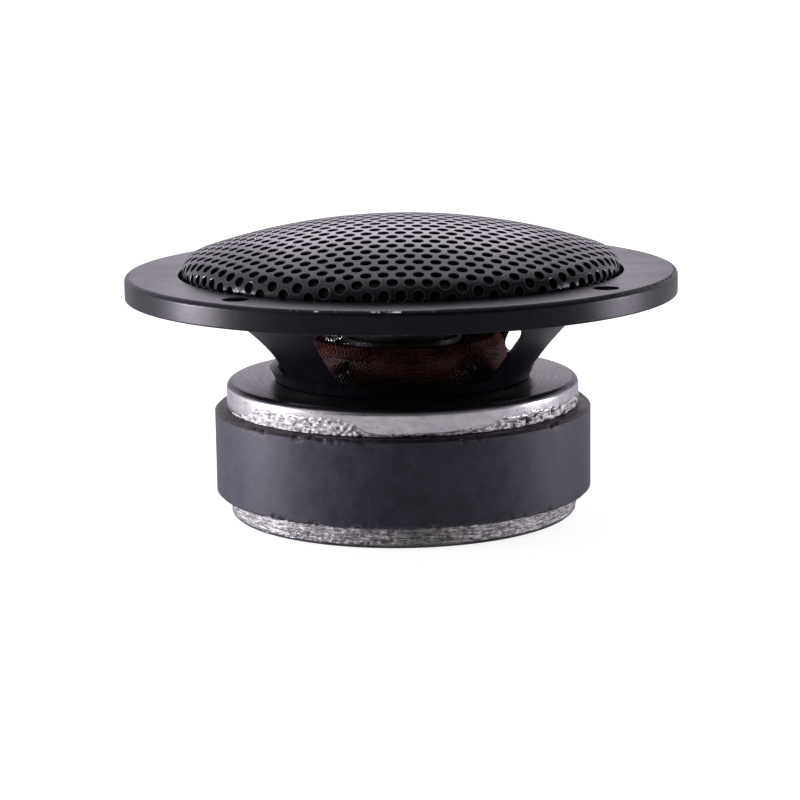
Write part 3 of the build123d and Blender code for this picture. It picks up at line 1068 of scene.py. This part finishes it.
@dataclass
class Motor:
    """The magnet circuit: back plate, ferrite ring, top plate, pole piece and glue lines.

    Args:
        chamfer: The ferrite ring's edge chamfer, in millimetres.
        bore: The ferrite ring's bore radius, in millimetres.
        worn_arc: (azimuth, outer half width, inner half width) of its most chipped stretch, in degrees.
        worn_more: How much more it is chipped there.
        margin: How far in from its edge the ring is finely divided, in millimetres.
        spacing: Distance between points of the finely divided section, in millimetres.
        segments: How many steps the ring's turn has.
    """

    chamfer: float = 0.5
    bore: float = 16.0
    worn_arc: tuple[float, float, float] = (-40.0, 34.0, 18.0)
    worn_more: float = 0.22
    margin: float = 1.2
    spacing: float = 0.34
    segments: int = 640

    def _extra_wear(self, azimuth: np.ndarray) -> np.ndarray:
        """How much more the ring is chipped along the worn stretch of its edge."""
        middle, outer, inner = self.worn_arc
        off = np.abs((np.degrees(azimuth) - middle + 180) % 360 - 180)
        return self.worn_more * soft_step(off, outer, inner)

    def _magnet(self) -> bpy.types.Object:
        """Makes the ferrite ring with small chips along its edges."""
        radius, low, high = node_size("magnet")
        c = self.chamfer
        side = [(radius - c, low), (radius, low + c), (radius, high - c), (radius - c, high)]
        inward = radius - self.margin
        side = [(inward, low), *side, (inward, high)]
        outline = fine(side, self.spacing) + [(self.bore, high), (self.bore, low)]
        crumb, coarse = ripple(0.9, 7.0), ripple(0.22, 19.0)
        found: dict[str, np.ndarray] = {}

        def roughen(r: np.ndarray, a: np.ndarray, z: np.ndarray) -> tuple[np.ndarray, np.ndarray]:
            """Chips the ring's outer edges."""
            off_middle, half = z - (low + high) / 2, (high - low) / 2
            edge = soft_step(np.abs(off_middle), half - 1.1, half - 0.2)
            edge *= soft_step(r, radius - 1.2, radius - 0.6)
            rough = crumb(r, a, z) + 0.6 * coarse(r, a, z) + self._extra_wear(a)
            chip = edge * soft_step(rough, 0.40, 0.58)
            found["chipped"] = chip
            return -0.34 * chip, -0.12 * chip * np.sign(off_middle)

        ring = lathe("magnet_ring", outline, self.segments, roughen)
        store(ring, "chipped", found["chipped"])
        shade(ring, 40)
        wear(ring, Ferrite("ferrite_ring", high).material())
        return stand_in(ring, "magnet", Body.FRAME)

    def build(self, nodes: dict[str, bpy.types.Object]) -> list[bpy.types.Object]:
        """Builds the motor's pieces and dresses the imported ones.

        Args:
            nodes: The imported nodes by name.

        Returns:
            The new pieces.
        """
        top = PunchedPlate(
            "top_plate", 10.9, True, tear=((-42.0, 27.0, 2.5), (48.0, 34.0, 2.0), (150.0, 40.0, 1.7)),
            base_tear=0.35, seed=3.0, stain=0.7, pits=(56.0, 30.0),
        )
        back = PunchedPlate(
            "back_plate", 5.53, False, tear=((20.0, 60.0, 1.8), (-90.0, 50.0, 1.2), (150.0, 40.0, 1.4)),
            base_tear=3.4, seed=61.0, stain=0.4, edge_colour=(0.56, 0.55, 0.53), grain=(11.0, 3.2),
        )
        steel = Metal("bare_steel", (0.50, 0.49, 0.48), (0.25, 0.20, 0.17), 0.34, True)
        wear(nodes["pole_piece"], steel.material())
        glue = CuredGlue("contact_glue").material()
        for name in ("front_glue", "rear_glue", "neck_ring"):
            wear(nodes[name], glue)
        return [top.build(), back.build(), self._magnet()]


# ---------------------------------------------------------------------------
# Basket
# ---------------------------------------------------------------------------


@dataclass
class Basket:
    """The pressed basket with its rivets and gasket.

    Args:
        flange_radius: The flange's outer radius, in millimetres.
        flange_top: The flange's upper face, in millimetres.
        skirt_low: The turned-down skirt's lower edge, in millimetres.
        foot_radius: The foot's outer radius, in millimetres.
        foot_low: The foot's lower face, in millimetres.
    """

    flange_radius: float = 51.0
    flange_top: float = 45.3
    skirt_low: float = 41.1
    foot_radius: float = 23.6
    foot_low: float = 25.2

    def dress(self, nodes: dict[str, bpy.types.Object]) -> None:
        """Gives the basket, its rivets and the gasket their finishes.

        Args:
            nodes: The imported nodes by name.
        """
        # Edges rubbed to bare metal: partly wear, partly a painted highlight on the side facing the camera.
        worn_and_highlight = (
            (self.flange_radius - 0.35, self.flange_top - 0.15, 0.24),
            (self.flange_radius, self.skirt_low, 0.14),
            (self.foot_radius, self.foot_low, 0.22),
        )
        finishes = {
            "basket": Enamel("black_enamel", worn_and_highlight_rings=worn_and_highlight, dust=0.05),
            # Painted shade: the zinc rivets are coloured far darker than bare zinc, so they stay dark inside
            # the basket.
            "basket_rivets": Metal("rivet_zinc_painted_shade", (0.10, 0.095, 0.09), (0.05, 0.043, 0.04), 0.52),
            "gasket_ring": PressedPaper("gasket_board", (0.020, 0.019, 0.018), (0.06, 0.055, 0.05)),
        }
        for name, finish in finishes.items():
            wear(nodes[name], finish.material())


# ---------------------------------------------------------------------------
# Grille
# ---------------------------------------------------------------------------


@dataclass
class Grille:
    """The domed grille of perforated steel and the cloth behind it.

    Args:
        sphere: The dome's outer radius, in millimetres.
        bend: The outer radius of the bend at its edge, in millimetres.
        sheet: The steel's thickness, in millimetres.
        pitch: Distance between holes, in millimetres.
        hole: The holes' radius, in millimetres.
        lean: Azimuth that the rows of holes face, in degrees.
        sides: How many sides each hole has.
        cloth: (inset, thickness) of the cloth under the dome, in millimetres.
    """

    sphere: float = 120.0
    bend: float = 3.7
    sheet: float = 0.8
    pitch: float = 3.05
    hole: float = 1.0
    lean: float = -6.5
    sides: int = 18
    cloth: tuple[float, float] = (0.85, 0.25)

    def _meridian(self, s: np.ndarray) -> tuple[np.ndarray, np.ndarray, np.ndarray, float]:
        """Walks down the dome's outer surface.

        Args:
            s: Distances from the crown along the surface, in millimetres.

        Returns:
            Each point's radius, height and slope in radians, and the whole way's length.
        """
        radius, low, high = node_size("grille")
        middle = high - self.sphere
        bend_r = radius - self.bend
        bend_z = middle + math.sqrt((self.sphere - self.bend) ** 2 - bend_r**2)
        tilt = math.atan2(bend_r, bend_z - middle)
        crown, turn = self.sphere * tilt, self.bend * (math.pi / 2 - tilt)
        whole = crown + turn + bend_z - low
        s = np.minimum(s, whole)
        slope = np.where(s < crown, s / self.sphere, np.minimum(tilt + (s - crown) / self.bend, math.pi / 2))
        on_dome = s < crown
        r = np.where(on_dome, self.sphere * np.sin(slope), bend_r + self.bend * np.sin(slope))
        z = np.where(on_dome, middle + self.sphere * np.cos(slope), bend_z + self.bend * np.cos(slope))
        z -= np.maximum(s - crown - turn, 0.0)
        return r, z, slope, whole

    def _cell(self) -> tuple[np.ndarray, np.ndarray, list[tuple[int, int, int, int]]]:
        """Makes one hexagonal cell with its hole, flat.

        Returns:
            The points' places, their depths below the outer face, and the faces.
        """
        angles = np.radians(30.0 + 360.0 / self.sides * np.arange(self.sides))
        from_side = (np.degrees(angles) + 30.0) % 60.0 - 30.0
        edge = self.pitch / 2 / np.cos(np.radians(from_side))
        lip = 0.12
        rings = (
            (edge, 0.0), (self.hole + lip, 0.0), (self.hole + 0.03, 0.05), (self.hole, 0.16),
            (self.hole, self.sheet), (edge, self.sheet),
        )  # (distance from the hole's middle, depth)
        points = np.concatenate([np.stack([np.cos(angles) * r, np.sin(angles) * r], -1) for r, _ in rings])
        depths = np.concatenate([np.full(self.sides, depth) for _, depth in rings])
        n = self.sides
        faces = [
            (k * n + i, k * n + (i + 1) % n, (k + 1) * n + (i + 1) % n, (k + 1) * n + i)
            for k in range(len(rings) - 1)
            for i in range(n)
        ]
        return points, depths, faces

    def _metal(self) -> bpy.types.Object:
        """Makes the perforated dome."""
        whole = self._meridian(np.zeros(1))[3]
        points, depths, faces = self._cell()
        row = self.pitch * math.sqrt(3) / 2
        reach = int(whole / row) + 2
        middles = [
            ((i + 0.5 * (j % 2)) * self.pitch, j * row)
            for j in range(-reach, reach + 1)
            for i in range(-reach, reach + 1)
        ]
        middles = [m for m in middles if math.hypot(*m) < whole + 1.7]
        flat = np.concatenate([points + m for m in middles])
        depth = np.tile(depths, len(middles))
        s = np.hypot(flat[:, 0], flat[:, 1])
        theta = np.arctan2(flat[:, 1], flat[:, 0]) + math.radians(self.lean)
        r, z, slope, _ = self._meridian(s)
        r, z = r - depth * np.sin(slope), z - depth * np.cos(slope)
        placed = np.stack([r * np.cos(theta), r * np.sin(theta), z], -1)
        inside = s < whole
        kept = []
        for k in range(len(middles)):
            base = k * len(points)
            kept += [tuple(base + i for i in face) for face in faces if any(inside[base + i] for i in face)]
        grille = mesh_object("grille_dome", placed, kept)
        marked = np.repeat((0.0, 0.35, 1.0, 0.0, 0.0, 0.0), self.sides)
        store(grille, "rim", np.tile(marked, len(middles)))
        mesh = bmesh.new()
        mesh.from_mesh(grille.data)
        bmesh.ops.remove_doubles(mesh, verts=mesh.verts, dist=0.004 * MM)
        bmesh.ops.dissolve_degenerate(mesh, edges=mesh.edges, dist=0.003 * MM)
        mesh.to_mesh(grille.data)
        mesh.free()
        return shade(grille, 28)

    def _scrim(self) -> bpy.types.Object:
        """Makes the cloth that lies under the dome."""
        inset, thick = self.cloth
        whole = self._meridian(np.zeros(1))[3]
        steps = np.linspace(0.0, whole, 90)
        r, z, slope, _ = self._meridian(steps)
        outer = [(max(a - inset * math.sin(t), 0.0), b - inset * math.cos(t)) for a, b, t in zip(r, z, slope)]
        deep = inset + thick
        inner = [(max(a - deep * math.sin(t), 0.0), b - deep * math.cos(t)) for a, b, t in zip(r, z, slope)]
        return shade(lathe("scrim_cloth", outer + inner[::-1], 192), 60)

    def build(self) -> list[bpy.types.Object]:
        """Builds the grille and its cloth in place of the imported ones.

        Returns:
            The two pieces.
        """
        metal, scrim = self._metal(), self._scrim()
        wear(metal, Enamel("grille_enamel", (0.004, 0.004, 0.006), 0.24, 1.45, dust=0.08, rim=0.5).material())
        wear(scrim, Weave("scrim_weave", (0.009, 0.009, 0.010), 0.32, 0.8).material())
        stand_in(metal, "grille", Body.FRAME)
        stand_in(scrim, "grille_scrim", Body.FRAME)
        cut = 2 * self._meridian(np.zeros(1))[3] * MM
        return [metal, scrim]


# ---------------------------------------------------------------------------
# Suspension
# ---------------------------------------------------------------------------


def rounded(corners: Outline, radius: float, spacing: float) -> np.ndarray:
    """Rounds the corners of an open line and divides it evenly.

    Args:
        corners: The line's corners.
        radius: The corners' radius.
        spacing: Distance between the points given back.

    Returns:
        The line's points, one row each.
    """
    line = [np.array(corners[0], float)]
    for before, at, after in zip(corners, corners[1:], corners[2:]):
        b, c, d = (np.array(p, float) for p in (before, at, after))
        u, v = (b - c) / np.linalg.norm(b - c), (d - c) / np.linalg.norm(d - c)
        half = math.acos(float(np.clip(u @ v, -1, 1))) / 2
        cut = min(radius / math.tan(half), 0.48 * np.linalg.norm(b - c), 0.48 * np.linalg.norm(d - c))
        r = cut * math.tan(half)
        centre = c + (u + v) / np.linalg.norm(u + v) * r / math.sin(half)
        start, end = c + u * cut - centre, c + v * cut - centre
        for t in np.linspace(0, 1, 9):
            mixed = start * (1 - t) + end * t
            line.append(centre + mixed / np.linalg.norm(mixed) * r)
    line.append(np.array(corners[-1], float))
    points = np.array(line)
    steps = np.concatenate([[0.0], np.cumsum(np.linalg.norm(np.diff(points, axis=0), axis=1))])
    even = np.linspace(0, steps[-1], max(2, round(steps[-1] / spacing)))
    return np.stack([np.interp(even, steps, points[:, i]) for i in (0, 1)], -1)


def bend_between(piece: bpy.types.Object, inner: float, outer: float) -> None:
    """Bakes a round piece's transform into its mesh; nothing here lets it bend between the frame and the
    cone.

    Args:
        piece: The finished mesh, with no parent.
        inner: Radius within which it would follow the cone, in millimetres; not used.
        outer: Radius beyond which it would stay with the frame, in millimetres; not used.
    """
    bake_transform(piece)


@dataclass
class Suspension:
    """The woven spider and the surround.

    Args:
        pitch: Distance between the spider's threads, in millimetres.
        thread: (half width, half thickness) of a thread, in millimetres.
        spider: Corners of the spider's section, from the outside in, in millimetres.
        fold: Radius of its folds, in millimetres.
        roll: (circle radius, height, outer radius) of the surround's half roll, in millimetres.
        thickness: The surround's thickness, in millimetres.
        lip: The surround's inner radius, in millimetres.
        spider_bend: Radii given to bend_between with the spider, in millimetres.
        surround_bend: Radii given to bend_between with the surround, in millimetres.
    """

    pitch: float = 0.72
    thread: tuple[float, float] = (0.15, 0.10)
    spider: tuple[tuple[float, float], ...] = (
        (22.25, 26.65), (19.1, 26.65), (19.4, 29.6), (18.8, 32.0), (17.5, 33.4), (16.0, 33.0),
        (14.4, 29.4), (12.8, 31.6), (11.4, 30.4), (10.05, 30.4),
    )
    fold: float = 0.8
    roll: tuple[float, float, float] = (33.1, 42.2, 2.7)
    thickness: float = 0.4
    lip: float = 29.2
    spider_bend: tuple[float, float] = (10.5, 19.0)
    surround_bend: tuple[float, float] = (30.4, 36.0)

    def _threads(self) -> tuple[np.ndarray, list[tuple[int, ...]]]:
        """Weaves the spider's threads flat, then lays them on its folds.

        Returns:
            The points in millimetres and the faces.
        """
        line = rounded(list(self.spider), self.fold, 0.12)[::-1]
        ways = np.concatenate([[0.0], np.cumsum(np.linalg.norm(np.diff(line, axis=0), axis=1))])
        slopes = np.gradient(line, axis=0)
        slopes /= np.linalg.norm(slopes, axis=1)[:, None]
        inner = line[0, 0]
        outer = inner + ways[-1]
        points: list[np.ndarray] = []
        faces: list[tuple[int, ...]] = []
        half_w, half_t = self.thread
        chance = random.Random(4)
        count = int(outer / self.pitch)
        for lane in range(-count, count + 1):
            offset = lane * self.pitch
            shift = chance.uniform(-0.05, 0.05)
            along = np.arange(-outer, outer, self.pitch / 2)
            rho = np.hypot(along, offset)
            for way in (0, 1):
                steps = np.round(along / (self.pitch / 2)).astype(int)
                over = np.where((steps // 2 + lane + way) % 2 == 0, 1.0, -1.0)
                lift = np.where(steps % 2 == 0, 1.0, 0.0) * over
                runs = np.flatnonzero((rho > inner) & (rho < outer))
                if len(runs) < 2:
                    continue
                for run in np.split(runs, np.flatnonzero(np.diff(runs) > 1) + 1):
                    if len(run) < 3:
                        continue
                    start = sum(len(p) for p in points)
                    for side, top in ((-half_w, 0.0), (0.0, half_t), (half_w, 0.0), (0.0, -half_t)):
                        across = offset + side + shift + 0.03 * np.sin(along[run] * 1.3 + lane)
                        pair = (along[run], across) if way == 0 else (across, along[run])
                        flat = np.stack(pair, -1)
                        points.append(self._laid(flat, 0.10 * lift[run] + top, line, slopes, ways, inner))
                    n = len(run)
                    faces += [
                        (start + k * n + i, start + k * n + i + 1,
                         start + (k + 1) % 4 * n + i + 1, start + (k + 1) % 4 * n + i)
                        for k in range(4)
                        for i in range(n - 1)
                    ]
        return np.concatenate(points), faces

    def _laid(self, flat: np.ndarray, lift: np.ndarray, line: np.ndarray, slopes: np.ndarray,
              ways: np.ndarray, inner: float) -> np.ndarray:
        """Lays flat points on the spider's folds.

        Args:
            flat: Places on the flat cloth.
            lift: Heights above the cloth's middle.
            line: The section's points from the inside out.
            slopes: The section's directions.
            ways: The way along the section to each of its points.
            inner: The cloth's inner radius.

        Returns:
            The points on the folded cloth.
        """
        way = np.clip(np.hypot(flat[:, 0], flat[:, 1]) - inner, 0.0, ways[-1])
        r, z, dr, dz = (np.interp(way, ways, v) for v in (line[:, 0], line[:, 1], slopes[:, 0], slopes[:, 1]))
        r, z = r - dz * lift, z + dr * lift
        turn = np.arctan2(flat[:, 1], flat[:, 0])
        return np.stack([r * np.cos(turn), r * np.sin(turn), z], -1)

    def _surround(self) -> bpy.types.Object:
        """Makes the surround as one turned shell."""
        radius = node_size("surround")[0]
        circle, height, outer = self.roll
        top = [(self.lip, height + self.thickness), (circle - outer, height + self.thickness)]
        top += arc((circle, height), outer, 171.5, 8.5, 28) + [(radius, height + self.thickness)]
        inner = outer - self.thickness
        under = [(radius, height)] + arc((circle, height), inner, 0, 180, 28) + [(self.lip, height)]
        return shade(lathe("surround_roll", top + under, 240), 60)

    def build(self) -> list[bpy.types.Object]:
        """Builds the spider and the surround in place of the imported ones.

        Returns:
            The two pieces.
        """
        points, faces = self._threads()
        spider = shade(mesh_object("spider_weave", points, faces), 80)
        wear(spider, ResinCloth("resin_cloth").material())
        surround = wear(self._surround(), Weave("doped_cloth", (0.012, 0.012, 0.013), 0.5, 0.5).material())
        stand_in(spider, "spider")
        stand_in(surround, "surround")
        bend_between(spider, *self.spider_bend)
        bend_between(surround, *self.surround_bend)
        return [spider, surround]


# ---------------------------------------------------------------------------
# Cone and voice coil
# ---------------------------------------------------------------------------


@dataclass
class MovingCone:
    """The parts that move: cone, dust cap, former, voice coil and lead eyelets.

    Args:
        wire: The winding's pitch, in millimetres.
        inner: The winding's inner radius, in millimetres.
    """

    wire: float = 0.25
    inner: float = 9.95

    def _winding(self) -> bpy.types.Object:
        """Makes the voice coil with its turns of wire."""
        outer, low, high = node_size("voice_coil")
        turns = round((high - low) / self.wire)
        step = (high - low) / turns
        r = step / 2
        outline = [(self.inner, low)]
        for k in range(turns):
            outline += arc((outer - r, low + (k + 0.5) * step), r, -80, 80, 6)
        outline.append((self.inner, high))
        coil = shade(lathe("voice_coil_winding", outline, 120), 60)
        wear(coil, Metal("enamelled_copper", (0.62, 0.22, 0.09), (0.35, 0.10, 0.04), 0.28).material())
        return stand_in(coil, "voice_coil", Body.CONE)

    def build(self, nodes: dict[str, bpy.types.Object]) -> list[bpy.types.Object]:
        """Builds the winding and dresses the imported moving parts.

        Args:
            nodes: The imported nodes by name.

        Returns:
            The new piece.
        """
        finishes = {
            # The cone paper is partly its own black and partly painted shade: it is darkened further, to the
            # near-black of the shade inside the basket.
            "cone": PressedPaper("cone_paper", (0.004, 0.004, 0.006), (0.010, 0.010, 0.016)),
            "dust_cap": PressedPaper("cap_paper", (0.014, 0.014, 0.015), (0.035, 0.035, 0.038)),
            # The former is partly its own brown and partly painted shade: it is coloured far darker than
            # kraft paper, for the shade where it sits.
            "voice_coil_former": PressedPaper("kraft_painted_shade", (0.050, 0.028, 0.016), (0.090, 0.055, 0.032), 0.03),
            "lead_eyelets": Metal("eyelet_brass", (0.65, 0.48, 0.20), (0.40, 0.26, 0.11), 0.3),
        }
        for name, finish in finishes.items():
            wear(nodes[name], finish.material())
        return [self._winding()]


# ---------------------------------------------------------------------------
# Terminals and leads
# ---------------------------------------------------------------------------


@dataclass
class Terminals:
    """The terminal board, its tabs and the braided leads to the cone.

    Args:
        route: Points along the positive lead, in millimetres.
        diameter: The lead's diameter, in millimetres.
        strands: How many strands lie round its middle one.
        twist: How many turns they make from end to end.
    """

    route: tuple[tuple[float, float, float], ...] = (
        (5.2, 26.9, 37.4), (5.2, 24.2, 37.2), (5.1, 21.2, 35.5), (4.8, 17.9, 34.3), (4.4, 14.6, 33.8),
    )
    diameter: float = 0.8
    strands: int = 6
    twist: float = 4.5

    def _lead(self, name: str, side: float) -> bpy.types.Object:
        """Makes one twisted lead.

        Args:
            name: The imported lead's name.
            side: 1 for the lead as given, -1 for its mirror image.

        Returns:
            The lead's mesh.
        """
        corners = np.array(self.route) * (side, 1, 1)
        t = np.linspace(0, len(corners) - 1, 81)
        centre = np.stack([self._curve(corners[:, i], t) for i in range(3)], -1)
        along = np.gradient(centre, axis=0)
        along /= np.linalg.norm(along, axis=1)[:, None]
        out = np.cross(along, (1.0, 0.0, 0.0))
        out /= np.linalg.norm(out, axis=1)[:, None]
        over = np.cross(along, out)
        strand = self.diameter / 6
        points: list[np.ndarray] = []
        faces: list[tuple[int, ...]] = []
        sides, n = 8, len(t)
        for k in range(self.strands + 1):
            phase = TURN * (k / self.strands + self.twist * np.linspace(0, 1, n))
            off = 0.0 if k == self.strands else self.diameter / 2 - strand
            core = centre + off * (np.cos(phase)[:, None] * out + np.sin(phase)[:, None] * over)
            start = k * sides * n
            for i in range(sides):
                a = TURN * i / sides
                points.append(core + strand * (math.cos(a) * out + math.sin(a) * over))
            faces += [
                (start + i * n + j, start + i * n + j + 1,
                 start + (i + 1) % sides * n + j + 1, start + (i + 1) % sides * n + j)
                for i in range(sides)
                for j in range(n - 1)
            ]
            faces += [tuple(start + i * n + end for i in range(sides)) for end in (0, n - 1)]
        lead = shade(mesh_object(f"{name}_strands", np.concatenate(points), faces), 50)
        stand_in(lead, name)
        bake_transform(lead)
        return lead

    @staticmethod
    def _curve(values: np.ndarray, t: np.ndarray) -> np.ndarray:
        """Runs a smooth curve through values at whole numbers of t."""
        slope = np.gradient(values)
        i = np.clip(t.astype(int), 0, len(values) - 2)
        u = t - i
        a, b, m, n = values[i], values[i + 1], slope[i], slope[i + 1]
        first = (2 * u**3 - 3 * u**2 + 1) * a + (u**3 - 2 * u**2 + u) * m
        return first + (3 * u**2 - 2 * u**3) * b + (u**3 - u**2) * n

    def build(self, nodes: dict[str, bpy.types.Object]) -> list[bpy.types.Object]:
        """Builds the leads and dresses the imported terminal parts.

        Args:
            nodes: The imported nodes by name.

        Returns:
            The new leads.
        """
        wear(nodes["terminal_board"], Laminate("board_laminate").material())
        brass = Metal("rivet_brass", (0.62, 0.45, 0.18), (0.36, 0.24, 0.10), 0.3)
        wear(nodes["terminal_rivet"], brass.material())
        tin = Metal("tinned_brass", (0.70, 0.69, 0.66), (0.50, 0.46, 0.38), 0.26).material()
        for name in ("terminal_positive", "terminal_negative"):
            wear(nodes[name], tin)
        leads = [self._lead(name, self._side(nodes[name])) for name in ("lead_positive", "lead_negative")]
        braid = Metal("copper_braid", (0.72, 0.42, 0.28), (0.45, 0.22, 0.14), 0.32).material()
        return [wear(lead, braid) for lead in leads]

    @staticmethod
    def _side(node: bpy.types.Object) -> float:
        """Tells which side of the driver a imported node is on."""
        return math.copysign(1.0, sum(v.co.x for v in node.data.vertices))


# ---------------------------------------------------------------------------
# Assembly
# ---------------------------------------------------------------------------


def packed_nodes() -> dict[str, bpy.types.Object]:
    """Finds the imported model's nodes in the scene.

    Returns:
        Each node's object by its name.
    """
    return {o["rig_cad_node"]: o for o in bpy.context.scene.objects if "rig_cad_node" in o}


def main() -> None:
    """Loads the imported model, builds each sub-assembly and sets up the studio."""
    logging.basicConfig(level=logging.INFO, format="%(name)s: %(message)s")
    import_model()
    nodes = packed_nodes()
    built = Motor().build(nodes)
    basket = Basket()
    basket.dress(nodes)
    built += Grille().build()
    built += Suspension().build()
    built += MovingCone().build(nodes)
    built += Terminals().build(nodes)
    for piece in built:
        log.info("%s: %d points", piece.name, len(piece.data.vertices))
    Studio().build(Vector((0, 0, basket.flange_top * MM)))


if __name__ == "__main__":
    main()
